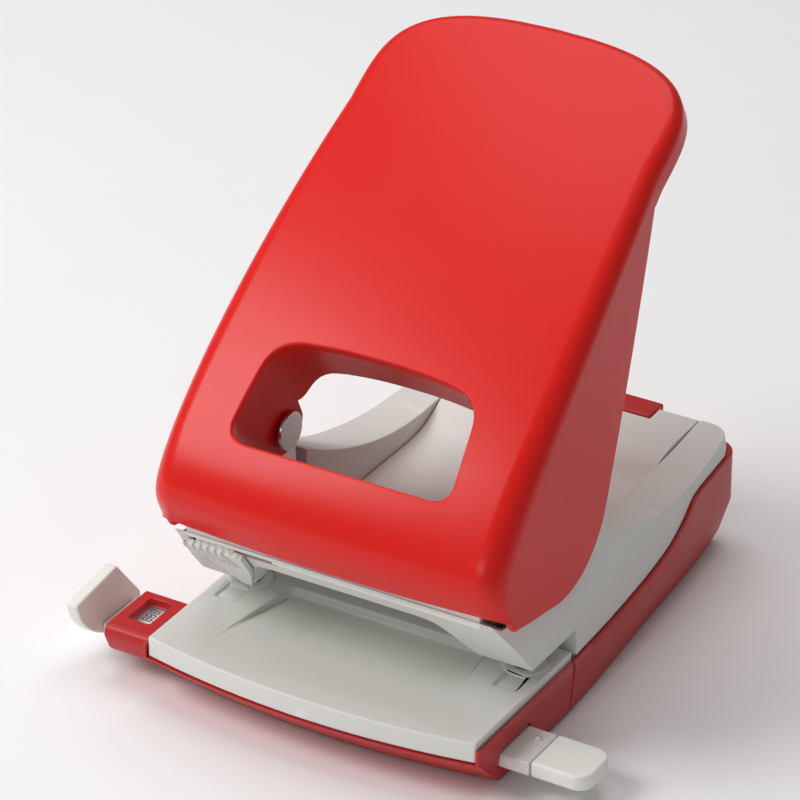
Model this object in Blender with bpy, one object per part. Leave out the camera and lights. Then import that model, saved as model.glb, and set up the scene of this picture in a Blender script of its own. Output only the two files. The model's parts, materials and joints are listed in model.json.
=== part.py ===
"""Two-hole office punch with a long lever, a paper guide and a chad tray.

Frame: +Z up, +X to the right, the paper goes in from -Y. The model is laid out with Y = 0 on the line of the
two punches and Z = 0 under the feet, and it is moved along Y at the end, so that its origin is the middle of
the footprint. All sizes are in metres.
"""

import math

import bmesh
import bpy
from mathutils import Matrix, Vector

# ---- driving dimensions ---------------------------------------------------------------------------------------
HOLE_SPACING = 0.080
PUNCH_X = HOLE_SPACING / 2
PUNCH_RADIUS = 0.00275
PAPER_STOP_Y = 0.0117          # 12 mm from the holes to the edge of the sheet
FRONT_Y = -0.0427              # furthest point of the bowed front
REAR_Y = 0.1085                # back of the chad tray
ORIGIN_SHIFT = Vector((0.0, -(FRONT_Y + REAR_Y) / 2, 0.0))

GAP = 0.0003                   # clearance between touching pieces
BOTTOM_Z = 0.0008              # the feet stand this much proud of the underside
BASE_HALF_WIDTH = 0.0485
BASE_TOP_Z = 0.012
TRAY_TOP_Z = 0.018
SLOT_TOP_Z = 0.0242            # underside of the housing, above the paper
SEAM_Y = 0.0093                # joint between the front base and the chad tray

PIVOT_Y = 0.002
PIVOT_Z = 0.063
HANDLE_SWING = math.radians(52)
PUNCH_STROKE = 0.011
PUNCH_TIP_Z = 0.0248
PUNCH_HEAD_Z = 0.055
PIN_RADIUS = 0.0025

HANDLE_HALF_WIDTH = 0.0498
HANDLE_WALL = 0.002
BODY_HALF_WIDTH = 0.0479
BODY_TAPER = 0.0044            # how much narrower each side is at the back
RIM_HALF_WIDTH = 0.0452        # the handle's side panels swing down past the rims

GUIDE_FACE_X = -0.0685         # face of the paper guide that the sheet touches
GUIDE_END_X = 0.072
RAIL_Y = (-0.0268, -0.0122)
RAIL_Z = (0.0056, 0.0094)

ROUND = 32                     # sides of a round piece

AXES = {"X": 0, "Y": 1, "Z": 2}


# ---- modelling helpers ----------------------------------------------------------------------------------------
def clear_scene():
    for item in list(bpy.data.objects):
        bpy.data.objects.remove(item, do_unlink=True)


def make_material(name, colour, roughness, metallic=0.0):
    material = bpy.data.materials.new(name)
    material.use_nodes = True
    shader = material.node_tree.nodes["Principled BSDF"]
    shader.inputs["Base Color"].default_value = (*colour, 1.0)
    shader.inputs["Roughness"].default_value = roughness
    shader.inputs["Metallic"].default_value = metallic
    return material


def add_object(name, shape):
    """Turns a bmesh into an object whose faces point out."""
    bmesh.ops.recalc_face_normals(shape, faces=shape.faces)
    mesh = bpy.data.meshes.new(name)
    shape.to_mesh(mesh)
    shape.free()
    item = bpy.data.objects.new(name, mesh)
    bpy.context.scene.collection.objects.link(item)
    return item


def spot(axis, first, second, along):
    """A 3-D point from two coordinates in the plane across an axis and one along it."""
    across = [first, second]
    return Vector([along if i == AXES[axis] else across.pop(0) for i in range(3)])


def prism(axis, outline, low, high, name="prism"):
    """An outline in the plane across an axis, drawn out between two values along it."""
    shape = bmesh.new()
    ends = []
    for along in (low, high):
        ends.append([shape.verts.new(spot(axis, a, b, along)) for a, b in outline])
    shape.faces.new(ends[0])
    shape.faces.new(ends[1])
    count = len(outline)
    for i in range(count):
        j = (i + 1) % count
        shape.faces.new((ends[0][i], ends[0][j], ends[1][j], ends[1][i]))
    return add_object(name, shape)


def loft(levels, name="loft"):
    """Joins outlines (x, y) of equal length at rising heights: [(z, outline), ...]."""
    shape = bmesh.new()
    rings = [[shape.verts.new((x, y, z)) for x, y in outline] for z, outline in levels]
    shape.faces.new(rings[0])
    shape.faces.new(rings[-1])
    for lower, upper in zip(rings, rings[1:]):
        count = len(lower)
        for i in range(count):
            j = (i + 1) % count
            shape.faces.new((lower[i], lower[j], upper[j]))
            shape.faces.new((lower[i], upper[j], upper[i]))
    return add_object(name, shape)


def box(low, high, name="box"):
    outline = [(low[0], low[1]), (high[0], low[1]), (high[0], high[1]), (low[0], high[1])]
    return prism("Z", outline, low[2], high[2], name)


def arc(centre, radius, start, end, steps):
    """Points on a circle; angles in degrees."""
    points = []
    for i in range(steps + 1):
        angle = math.radians(start + (end - start) * i / steps)
        points.append((centre[0] + radius * math.cos(angle), centre[1] + radius * math.sin(angle)))
    return points


def disc(axis, centre, radius, low, high, name="disc", sides=ROUND):
    outline = arc(centre, radius, 0, 360, sides)[:-1]
    return prism(axis, outline, low, high, name)


def combine(target, others, operation):
    """Applies one exact Boolean per piece and removes the pieces used."""
    for other in others:
        step = target.modifiers.new("combine", "BOOLEAN")
        step.operation = operation
        step.solver = "EXACT"
        step.object = other
        graph = bpy.context.evaluated_depsgraph_get()
        result = bpy.data.meshes.new_from_object(target.evaluated_get(graph))
        target.modifiers.clear()
        target.data = result
        bpy.data.objects.remove(other, do_unlink=True)
    return target


def cut(target, *others):
    return combine(target, others, "DIFFERENCE")


def join(target, *others):
    return combine(target, others, "UNION")


def keep(target, *others):
    return combine(target, others, "INTERSECT")


def finish(item, name, material, origin=(0.0, 0.0, 0.0), parent=None, smooth_angle=35):
    """Names a piece, gives it its material and puts its origin where asked."""
    item.name = name
    item.data.name = name
    item.data.materials.clear()
    item.data.materials.append(material)
    item.data.shade_smooth()
    item.data.set_sharp_from_angle(angle=math.radians(smooth_angle))
    item.data.transform(Matrix.Translation(-Vector(origin)))
    if parent is None:
        item.location = Vector(origin) + ORIGIN_SHIFT
    else:
        item.parent = parent
        item.location = Vector(origin) + ORIGIN_SHIFT - parent.location
    return item


def joint_frame(name, origin):
    """An empty on a joint's axis, which carries the pieces that move with it."""
    frame = bpy.data.objects.new(name, None)
    frame.empty_display_size = 0.01
    frame.location = Vector(origin) + ORIGIN_SHIFT
    bpy.context.scene.collection.objects.link(frame)
    return frame


def side_name(side):
    return "left" if side < 0 else "right"


def span(side, near, far):
    """Low and high X of a stretch between two distances from the middle plane, on one side."""
    return sorted((side * near, side * far))


# ---- outlines that several pieces share -----------------------------------------------------------------------
FRONT_BOW = 0.0048
BOTTOM_SETBACK = 0.0119        # the underside starts this much further back than the rim above it
LEAN_LENGTH = 0.045            # the chad tray's sides lean in more and more over this length
SEAM_LEAN = 0.0015             # at the seam, where they meet the front base's sides
SIDE_LEAN = 0.0042
LEAN_TOP_Z = 0.0138            # the sides are upright above this height
DECK_TOP_Z = 0.0338            # of the deck and the rims at the back
BAND_TOP_Z = 0.0280            # of the chad tray at the back


def front_outline(half_width, corner_y, rear_y, steps=12):
    """Plan outline with a straight back and a front bowed forward between its corners."""
    points = []
    for i in range(steps + 1):
        x = -half_width + 2 * half_width * i / steps
        points.append((x, corner_y - FRONT_BOW * (1 - (x / half_width) ** 2)))
    return points + [(half_width, rear_y), (-half_width, rear_y)]


def body_half_width(y):
    """Half width of the housing, which narrows towards the back."""
    start, length = 0.015, 0.085
    along = max(0.0, (y - start) / length)
    return BODY_HALF_WIDTH - BODY_TAPER * along ** 2


def rear_outline(offset, front_y, rear_y, leans=(0.0, 0.0), corner=0.007, steps=6):
    """Plan outline of the back half: tapering sides and a rounded rear, grown by an offset.

    Each side also steps in by the leans, at the seam and further back."""
    right = []
    for i in range(steps + 1):
        y = front_y + (rear_y - corner - front_y) * i / steps
        share = max(0.0, min(1.0, (y - SEAM_Y) / LEAN_LENGTH))
        lean = leans[0] + (leans[1] - leans[0]) * share
        right.append((body_half_width(y) + offset - lean, y))
    corner_x = right[-1][0] - corner
    right += arc((corner_x, rear_y - corner), corner, 0, 90, 5)[1:]
    return right + [(-x, y) for x, y in reversed(right)]


def rim_contour(drop=0.0):
    """Side view (y, z) of the two rims beside the deck, from the pivot down to the dip and up to the back."""
    dip_y, dip_z = 0.074, 0.032
    points = []
    for y in (0.0175, 0.022, 0.030, 0.040, 0.050, 0.062, 0.074, 0.088, 0.102):
        rise = 0.0171 * ((dip_y - y) / 0.0565) ** 1.9 if y < dip_y else 0.0018 * ((y - dip_y) / 0.028) ** 2
        points.append((y, dip_z + rise - drop))
    return points


def band_contour(lift=0.0):
    """Side view of the chad tray's upper edge, which steps up round the rear corners."""
    points = [(SEAM_Y + GAP, 0.0158), (0.030, 0.0172), (0.050, 0.0186), (0.064, 0.0204)]
    points += [(0.0720, 0.0235), (0.0775, 0.0272), (0.0815, BAND_TOP_Z), (REAR_Y, BAND_TOP_Z)]
    return [(y, z + lift) for y, z in points]


def front_face_y(z):
    """Y of the housing's sloping front face at a height."""
    return -0.0284 + (0.0466 - z) * 0.786


# ---- base, tray and die ---------------------------------------------------------------------------------------
def make_front_base(material):
    corner_y = FRONT_Y + FRONT_BOW
    bottom = front_outline(0.0473, corner_y + BOTTOM_SETBACK, SEAM_Y)
    rim = front_outline(BASE_HALF_WIDTH, corner_y, SEAM_Y)
    base = loft([(BOTTOM_Z, bottom), (BASE_TOP_Z, rim), (0.0160, rim)])
    window_block = prism(
        "X",
        [(-0.0340, 0.0150), (-0.0348, 0.0135), (-0.0335, 0.0085), (-0.0290, 0.0040), (-0.0160, 0.0040),
         (-0.0145, 0.0055), (-0.0145, 0.0150)],
        -0.0624, -0.0470)
    join(base, window_block)
    inner_floor = front_outline(0.0448, corner_y + BOTTOM_SETBACK + 0.0005, SEAM_Y - 0.012)
    inner_rim = front_outline(0.0455, corner_y + 0.0026, SEAM_Y - 0.012)
    pocket = loft([(0.0028, inner_floor), (BASE_TOP_Z + 0.001, inner_rim)])
    tray_seat = box((-0.0475, -0.06, BASE_TOP_Z), (0.0475, 0.02, 0.02))
    chad_way = box((-0.0455, -0.0095, -0.001), (0.0455, 0.02, 0.0125))
    cut(base, pocket, tray_seat, chad_way)
    for x in (-0.022, 0.020):
        join(base, box((x, -0.0285, 0.0020), (x + 0.002, -0.0110, 0.0050)))
    rail_way = box((-0.08, -0.0272, 0.0052), (0.08, -0.0118, 0.0104))
    scale_window = box((-0.0594, -0.0295, 0.0090), (-0.0528, -0.0175, 0.02))
    pad_seat = box((-0.0363, -0.0243, -0.001), (0.0363, -0.0127, 0.0019))
    cut(base, rail_way, scale_window, pad_seat)
    return finish(base, "front_base", material)


def make_front_pad(material):
    pad = box((-0.0360, -0.0240, 0.0), (0.0360, -0.0130, 0.0016))
    return finish(pad, "front_pad", material)


def make_paper_tray(material):
    half_width = 0.0472
    rear_y = PAPER_STOP_Y - 0.0011
    tray = prism("Z", front_outline(half_width, FRONT_Y + FRONT_BOW + 0.0005, rear_y), BASE_TOP_Z + GAP, TRAY_TOP_Z)
    dish = prism("X", [(-0.0345, TRAY_TOP_Z + 0.001), (-0.0345, TRAY_TOP_Z - 0.0001), (0.0012, TRAY_TOP_Z - 0.0025),
                       (0.0015, TRAY_TOP_Z + 0.001)], -0.05, 0.05)
    dish_plan = prism("Z", [(-0.0342, -0.036), (0.0342, -0.036), (0.0285, 0.002), (-0.0285, 0.002)], 0.0, 0.03)
    keep(dish, dish_plan)
    die_seat = box((-0.0461, -0.0073, 0.0), (0.0461, 0.0093, 0.0151))
    cut(tray, dish, die_seat)
    for side in (-1, 1):
        cut(tray, disc("Z", (side * PUNCH_X, 0.0), 0.0032, 0.0, 0.03))
    return finish(tray, "paper_tray", material)


def make_die_plate(material):
    plate = box((-0.0458, -0.0070, BASE_TOP_Z + GAP), (0.0458, 0.0090, 0.0148))
    for side in (-1, 1):
        cut(plate, disc("Z", (side * PUNCH_X, 0.0), PUNCH_RADIUS + 0.0002, 0.0, 0.03))
    return finish(plate, "die_plate", material)


# ---- housing and deck -----------------------------------------------------------------------------------------
LATCH_HALF_WIDTH = 0.0210
LATCH_TOP_Z = DECK_TOP_Z + 0.0003
THROAT_HALF_WIDTH = 0.033
THROAT_TOP_Z = 0.039
THROAT_BACK_Y = 0.0025
DECK_HALF_WIDTH = 0.033
SHOULDER_Z = 0.0378            # the handle's side panels swing above this height
FRONT_TOP_Z = 0.0450           # top of the front block, just under the handle's lower edge


def housing_outer():
    shoulder = arc((PIVOT_Y, PIVOT_Z), PIVOT_Z - SHOULDER_Z, -106, -90, 3)
    lower = [(front_face_y(SLOT_TOP_Z), SLOT_TOP_Z), (front_face_y(FRONT_TOP_Z), FRONT_TOP_Z), (-0.0226, 0.0419)]
    lower += shoulder
    lower += [point for point in rim_contour() if point[1] < SHOULDER_Z]
    lower += [(0.1060, DECK_TOP_Z), (0.1060, 0.0140), (PAPER_STOP_Y, 0.0140), (PAPER_STOP_Y, SLOT_TOP_Z)]
    outer = prism("X", lower, -0.06, 0.06)
    rims = prism("X", rim_contour() + [(0.1060, DECK_TOP_Z), (0.1060, 0.0200), (0.0160, 0.0200), (0.0160, 0.0495)],
                 -RIM_HALF_WIDTH, RIM_HALF_WIDTH)
    join(outer, rims)
    plan = rear_outline(0.0, -0.035, 0.1055)
    return keep(outer, prism("Z", plan, 0.0, 0.08))


def housing_front_space():
    """The room for the punches inside the front block, round the back of the throat."""
    inner_bottom = 0.0266
    room = prism("X", [(front_face_y(inner_bottom) + 0.0034, inner_bottom), (-0.0244, 0.0450), (-0.0244, 0.08),
                       (0.0130, 0.08), (0.0130, inner_bottom)], -0.0457, 0.0457)
    throat_block = box((-THROAT_HALF_WIDTH, -0.05, 0.0), (THROAT_HALF_WIDTH, THROAT_BACK_Y + 0.002, THROAT_TOP_Z))
    return cut(room, throat_block)


def throat_space():
    """The arched opening between the two punches."""
    half = [(0.0310, 0.0200), (0.0310, 0.0240), (0.0295, 0.0262), (0.0262, 0.0335), (0.0245, 0.0358), (0.0222, 0.0368)]
    outline = half + [(-x, z) for x, z in reversed(half)]
    return prism("Y", outline, -0.06, THROAT_BACK_Y)


def rim_hollow(side):
    """Turns one rim into a thin shell, open downwards."""
    wall = 0.0022
    outline = rim_contour(wall)[1:] + [(0.1032, DECK_TOP_Z - wall), (0.1032, 0.0), (0.0160, 0.0), (0.0160, 0.0420)]
    low, high = span(side, DECK_HALF_WIDTH + 0.0024, 0.0600)
    hollow = prism("X", outline, low, high)
    return keep(hollow, prism("Z", rear_outline(-0.0031, -0.02, 0.1030), -0.01, 0.06))


def tray_clearance():
    """Cuts the housing's lower edge back, so that the chad tray's sides fit round it."""
    outline = band_contour(GAP) + [(0.12, BAND_TOP_Z + GAP), (0.12, -0.01), (SEAM_Y + GAP, -0.01)]
    ring = prism("X", outline, -0.07, 0.07)
    return cut(ring, prism("Z", rear_outline(-0.0010, -0.05, 0.1055), -0.02, 0.06))


def make_housing(material):
    body = housing_outer()
    cut(body, housing_front_space(), throat_space(), rim_hollow(-1), rim_hollow(1), tray_clearance())
    deck_space = box((-DECK_HALF_WIDTH - GAP, 0.0160, 0.0), (DECK_HALF_WIDTH + GAP, 0.12, 0.08))
    lock_slot = box((-0.0415, -0.0320, 0.0405), (-0.0170, -0.0150, 0.0436))
    cut(body, deck_space, lock_slot)
    for side in (-1, 1):
        cut(body, disc("Z", (side * PUNCH_X, 0.0), 0.0032, 0.02, 0.03))
        for x in SCREW_X:
            cut(body, disc("Z", (side * x, SCREW_Y), SCREW_RADIUS + GAP, 0.02, 0.03, sides=16))
    return finish(body, "housing", material)


def make_rear_cover(material):
    """The dished deck between the rims, turned down at the back."""
    back_y, wall = 0.1055, 0.0020
    top = [(0.0163, 0.0300), (0.0240, 0.0276), (0.0680, 0.0270), (0.0760, 0.0284), (0.0840, 0.0326),
           (0.0900, DECK_TOP_Z - 0.0003), (back_y, DECK_TOP_Z)]
    under = [(back_y, 0.0160), (back_y - wall, 0.0160), (back_y - wall, DECK_TOP_Z - wall), (0.0905, 0.0316),
             (0.0852, 0.0308), (0.0770, 0.0264), (0.0685, 0.0250), (0.0240, 0.0256), (0.0163, 0.0280)]
    cover = prism("X", top + under, -DECK_HALF_WIDTH, DECK_HALF_WIDTH)
    cut(cover, box((-LATCH_HALF_WIDTH - GAP, 0.0995, LATCH_TOP_Z - 0.0022), (LATCH_HALF_WIDTH + GAP, 0.11, 0.04)))
    return finish(cover, "rear_cover", material)


# ---- chad tray ------------------------------------------------------------------------------------------------
LATCH_HINGE = (0.0, 0.1078, 0.0200)


def tray_walls(offset, front_y, rear_y):
    """The space within the chad tray's sides, which lean out up to LEAN_TOP_Z."""
    upright = rear_outline(offset, front_y, rear_y)
    leaning = rear_outline(offset, front_y, rear_y, (SEAM_LEAN, SIDE_LEAN))
    return loft([(0.0, leaning), (LEAN_TOP_Z, upright), (0.06, upright)])


def make_chad_tray(material, frame):
    profile = [(SEAM_Y + GAP, BOTTOM_Z), (0.0960, BOTTOM_Z), (0.1050, 0.0045), (REAR_Y, 0.0150)]
    profile += list(reversed(band_contour()))
    tray = prism("X", profile, -0.06, 0.06)
    keep(tray, tray_walls(0.0009, -0.02, REAR_Y))
    join(tray, box((-0.0450, -0.0092, BOTTOM_Z), (0.0450, 0.0120, 0.0115)))
    inside = prism("X", [(0.0, 0.0028), (0.0950, 0.0028), (0.1035, 0.0062), (0.1062, 0.0135), (0.1062, 0.06),
                         (0.0, 0.06)], -0.06, 0.06)
    cut(tray, keep(inside, tray_walls(-0.0003, SEAM_Y - 0.001, 0.1062)))
    cut(tray, box((-0.0434, -0.0076, 0.0028), (0.0434, 0.0200, 0.02)))
    cut(tray, box((-LATCH_HALF_WIDTH - GAP, 0.1040, LATCH_HINGE[2] - 0.0008), (LATCH_HALF_WIDTH + GAP, 0.12, 0.05)))
    for side in (-1, 1):
        low, high = span(side, 0.0177, 0.0363)
        cut(tray, box((low, 0.0757, -0.001), (high, 0.0903, 0.0019)))
    return finish(tray, "chad_tray", material, parent=frame, origin=(0.0, SEAM_Y, 0.0))


def make_rear_pad(side, material, frame):
    low, high = span(side, 0.0180, 0.0360)
    pad = box((low, 0.0760, 0.0), (high, 0.0900, 0.0016))
    return finish(pad, f"rear_pad_{side_name(side)}", material, parent=frame, origin=(0.0, SEAM_Y, 0.0))


def make_tray_latch(material, frame):
    low_z, thickness = LATCH_HINGE[2] - 0.0005, 0.0019
    leaf = [(0.1068, low_z), (0.1082, low_z), (0.1082, LATCH_TOP_Z), (0.0998, LATCH_TOP_Z),
            (0.0998, LATCH_TOP_Z - thickness), (0.1068, LATCH_TOP_Z - thickness)]
    latch = prism("X", leaf, -LATCH_HALF_WIDTH, LATCH_HALF_WIDTH)
    return finish(latch, "tray_latch", material, parent=frame, origin=LATCH_HINGE)


# ---- punching mechanism ---------------------------------------------------------------------------------------
CHEEK_X = (0.0334, 0.0354)
FOOT_Z = (0.0269, 0.0289)
SCREW_X = (0.0375, 0.0430)
SCREW_Y = 0.0092
SCREW_RADIUS = 0.0012


def make_bracket(side, material):
    """A bent steel sheet: a foot round the punch and a cheek that carries the pivot."""
    outline = [(-0.0070, FOOT_Z[0]), (0.0120, FOOT_Z[0]), (0.0120, 0.0400)]
    outline += arc((PIVOT_Y, PIVOT_Z), 0.0080, 0, 180, 12)
    outline += [(-0.0070, 0.0500)]
    bracket = prism("X", outline, *span(side, *CHEEK_X))
    low, high = span(side, CHEEK_X[0], 0.0452)
    join(bracket, box((low, -0.0070, FOOT_Z[0]), (high, 0.0120, FOOT_Z[1])))
    cut(bracket, disc("Z", (side * PUNCH_X, 0.0), PUNCH_RADIUS + 0.0002, 0.02, 0.03))
    for x in SCREW_X:
        cut(bracket, disc("Z", (side * x, SCREW_Y), SCREW_RADIUS + GAP, 0.02, 0.03, sides=16))
    cut(bracket, disc("X", (PIVOT_Y, PIVOT_Z), 0.0046, *span(side, 0.030, 0.038)))
    return finish(bracket, f"pivot_bracket_{side_name(side)}", material)


def make_bush(side, material):
    bush = disc("X", (PIVOT_Y, PIVOT_Z), 0.0043, *span(side, 0.0328, 0.0360))
    cut(bush, disc("X", (PIVOT_Y, PIVOT_Z), PIN_RADIUS + GAP, *span(side, 0.030, 0.038)))
    return finish(bush, f"pivot_bush_{side_name(side)}", material)


def make_screw(side, index, material):
    x = side * SCREW_X[index]
    screw = disc("Z", (x, SCREW_Y), SCREW_RADIUS, 0.0248, 0.0300, sides=12)
    join(screw, disc("Z", (x, SCREW_Y), 0.0021, FOOT_Z[1] + GAP, 0.0306, sides=16))
    cut(screw, box((x - 0.0016, SCREW_Y - 0.0003, 0.0300), (x + 0.0016, SCREW_Y + 0.0003, 0.0320)))
    return finish(screw, f"bracket_screw_{side_name(side)}_{index + 1}", material)


def make_punch(side, material, frame):
    x = side * PUNCH_X
    profile = [(0.0, PUNCH_TIP_Z + 0.0008), (PUNCH_RADIUS, PUNCH_TIP_Z), (PUNCH_RADIUS, 0.0505), (0.0046, 0.0505)]
    profile += [(0.0046, 0.0518), (PUNCH_RADIUS, 0.0518), (PUNCH_RADIUS, 0.0545), (0.0020, PUNCH_HEAD_Z)]
    shape = bmesh.new()
    axis_top = (0.0, PUNCH_HEAD_Z)
    points = [shape.verts.new((r, 0.0, z)) for r, z in profile + [axis_top]]
    edges = [shape.edges.new(pair) for pair in zip(points, points[1:])]
    bmesh.ops.spin(shape, geom=points + edges, axis=(0, 0, 1), cent=(0, 0, 0), angle=2 * math.pi, steps=24)
    bmesh.ops.remove_doubles(shape, verts=shape.verts, dist=0.00001)
    bmesh.ops.translate(shape, verts=shape.verts, vec=(x, 0.0, 0.0))
    punch = add_object("punch", shape)
    return finish(punch, f"punch_{side_name(side)}", material, parent=frame, origin=(x, 0.0, PUNCH_TIP_Z))


def make_return_spring(side, material, frame):
    """An open coil between the bracket's foot and the punch's collar."""
    low, high = FOOT_Z[1] + 0.0010, 0.0496
    turns, per_turn, radius, wire = 6, 12, 0.0041, 0.0005
    curve = bpy.data.curves.new("spring", "CURVE")
    curve.dimensions = "3D"
    curve.bevel_depth = wire
    curve.bevel_resolution = 1
    curve.use_fill_caps = True
    coil = curve.splines.new("POLY")
    count = turns * per_turn + 1
    coil.points.add(count - 1)
    for i in range(count):
        angle = 2 * math.pi * i / per_turn
        z = low + (high - low) * i / (count - 1)
        coil.points[i].co = (side * PUNCH_X + radius * math.cos(angle), radius * math.sin(angle), z, 1.0)
    draft = bpy.data.objects.new("spring_curve", curve)
    bpy.context.scene.collection.objects.link(draft)
    graph = bpy.context.evaluated_depsgraph_get()
    mesh = bpy.data.meshes.new_from_object(draft.evaluated_get(graph))
    bpy.data.objects.remove(draft, do_unlink=True)
    spring = bpy.data.objects.new("spring", mesh)
    bpy.context.scene.collection.objects.link(spring)
    origin = (side * PUNCH_X, 0.0, PUNCH_TIP_Z)
    return finish(spring, f"return_spring_{side_name(side)}", material, parent=frame, origin=origin, smooth_angle=80)


# ---- handle ---------------------------------------------------------------------------------------------------
ARM_X = (0.0300, 0.0322)
HANDLE_TIP = (0.0830, 0.1494)
TIP_SLOPE = 32                 # degrees from level, at the top of the front panel
WINDOW_MIDDLE_Z = 0.0838


def front_curve(inset=0.0, steps=12):
    """Side view (y, z) of the front panel: a cubic curve, steep at the bottom and flatter towards the top."""
    control = [(-0.0327, 0.0540), (-0.0447, 0.0682), (0.0305, 0.1218), HANDLE_TIP]
    points = []
    for i in range(steps + 1):
        t = i / steps
        weights = ((1 - t) ** 3, 3 * (1 - t) ** 2 * t, 3 * (1 - t) * t * t, t ** 3)
        slopes = ((1 - t) ** 2, 2 * (1 - t) * t, t * t)
        y = sum(w * c[0] for w, c in zip(weights, control))
        z = sum(w * c[1] for w, c in zip(weights, control))
        dy = sum(w * (b[0] - a[0]) for w, a, b in zip(slopes, control, control[1:]))
        dz = sum(w * (b[1] - a[1]) for w, a, b in zip(slopes, control, control[1:]))
        size = math.hypot(dy, dz)
        points.append((y + inset * dz / size, z - inset * dy / size))
    return points


def panel_point(height, depth=0.0):
    """The point (y, z) where the front curve reaches a height, moved inwards square to the curve."""
    outer, inner = front_curve(0.0, 60), front_curve(depth, 60)
    for i in range(60):
        if outer[i + 1][1] >= height:
            share = (height - outer[i][1]) / (outer[i + 1][1] - outer[i][1])
            return tuple(a + (b - a) * share for a, b in zip(inner[i], inner[i + 1]))
    return inner[-1]


def handle_side_profile():
    rear_corner = arc((PIVOT_Y, PIVOT_Z), 0.0246, -106, -23.3, 8)
    back = [(0.0540, 0.1220), (0.0640, 0.1300), (0.0760, 0.1368), (0.0880, 0.1418)]
    return [(-0.0300, 0.0473)] + front_curve() + list(reversed(back)) + list(reversed(rear_corner)) + [(-0.0229, 0.0426)]


def handle_inner_profile():
    beyond = [(0.1100, 0.1600), (0.1100, 0.0200), (-0.0270, 0.0200)]
    return [(-0.0280, 0.0470)] + front_curve(HANDLE_WALL) + beyond


def panel_prism(inset):
    """The front panel's outline: sides that lean in slowly and a top rounded like a superellipse."""
    straight_top, top_half_width, squareness = -0.0420, 0.0456, 3
    half = [(HANDLE_HALF_WIDTH, -0.1700), (0.0492, -0.1050), (0.0480, -0.0840), (0.0465, -0.0600)]
    for i in range(9):
        turn = math.radians(90 * i / 8)
        x = top_half_width * math.cos(turn) ** (2 / squareness) if i < 8 else 0.0
        half.append((x, straight_top * (1 - math.sin(turn) ** (2 / squareness))))
    half = [(x * (1 - inset / top_half_width), v - inset) for x, v in half]
    outline = half + [(-x, v) for x, v in reversed(half[:-1])]
    panel = prism("Z", outline, -0.12, 0.12)
    tilt = Matrix.Rotation(math.radians(TIP_SLOPE), 4, "X")
    panel.data.transform(Matrix.Translation((0.0, *HANDLE_TIP)) @ tilt)
    return panel


def window_cutter():
    """A rounded trapezoid, narrower at the top, cut square to the panel."""
    half = [(0.0290, -0.0145), (0.0310, -0.0135), (0.0315, -0.0110), (0.0288, 0.0105), (0.0262, 0.0135), (0.0200, 0.0146)]
    outline = half + [(-x, z) for x, z in reversed(half)]
    cutter = prism("Y", outline, -0.0120, 0.0120)
    tilt = Matrix.Rotation(math.radians(-46), 4, "X")
    cutter.data.transform(Matrix.Translation((0.0, *panel_point(WINDOW_MIDDLE_Z))) @ tilt)
    return cutter


def handle_arm(side):
    """A web from the window's side down to a round lobe on the pivot."""
    lobe = arc((PIVOT_Y, PIVOT_Z), 0.0080, -110, 45, 10)
    rear = [(0.0082, 0.0740), (0.0074, 0.0800), (0.0078, 0.0850)]
    panel = [panel_point(z / 1000, HANDLE_WALL / 2) for z in (94, 89, 84, 79, 74, 69, 64, 59)]
    return prism("X", lobe + rear + panel, *span(side, *ARM_X))


def top_flange():
    """The turned-in upper edge of the window."""
    upper, lower = WINDOW_MIDDLE_Z + 0.0118, WINDOW_MIDDLE_Z + 0.0104
    outline = [panel_point(lower, 0.0008), panel_point(upper, 0.0008), panel_point(upper, 0.0125),
               panel_point(lower, 0.0125)]
    return prism("X", outline, -ARM_X[1], ARM_X[1])


def make_handle(material, frame):
    handle = prism("X", handle_side_profile(), -0.06, 0.06)
    keep(handle, panel_prism(0.0))
    hollow = prism("X", handle_inner_profile(), -0.06, 0.06)
    keep(hollow, panel_prism(HANDLE_WALL))
    cut(handle, hollow, window_cutter())
    join(handle, handle_arm(-1), handle_arm(1), top_flange())
    for side in (-1, 1):
        cut(handle, disc("X", (PIVOT_Y, PIVOT_Z), PIN_RADIUS + GAP, *span(side, 0.028, 0.034)))
    return finish(handle, "handle", material, parent=frame, origin=(0.0, PIVOT_Y, PIVOT_Z))


def make_pivot_pin(side, material, frame):
    pin = disc("X", (PIVOT_Y, PIVOT_Z), PIN_RADIUS, *span(side, 0.0294, 0.0463))
    join(pin, disc("X", (PIVOT_Y, PIVOT_Z), 0.0052, *span(side, 0.0287, 0.0297)))
    origin = (0.0, PIVOT_Y, PIVOT_Z)
    return finish(pin, f"pivot_pin_{side_name(side)}", material, parent=frame, origin=origin)


def make_cam(side, material, frame):
    """A spiral that grows towards the back, so that swinging the handle back pushes the punch down."""
    clearance = 0.0010
    start = PIVOT_Z - PUNCH_HEAD_Z - clearance
    outline = []
    for degrees in range(0, 55, 6):
        radius = start + PUNCH_STROKE * math.radians(degrees) / HANDLE_SWING
        angle = math.radians(-90 + degrees)
        outline.append((PIVOT_Y + radius * math.cos(angle), PIVOT_Z + radius * math.sin(angle)))
    outline += arc((PIVOT_Y, PIVOT_Z), start - 0.0005, 0, 255, 16)
    cam = prism("X", outline, *span(side, PUNCH_X - 0.0034, PUNCH_X + 0.0034))
    cut(cam, disc("X", (PIVOT_Y, PIVOT_Z), PIN_RADIUS + GAP, *span(side, 0.03, 0.05)))
    return finish(cam, f"press_cam_{side_name(side)}", material, parent=frame, origin=(0.0, PIVOT_Y, PIVOT_Z))


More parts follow.
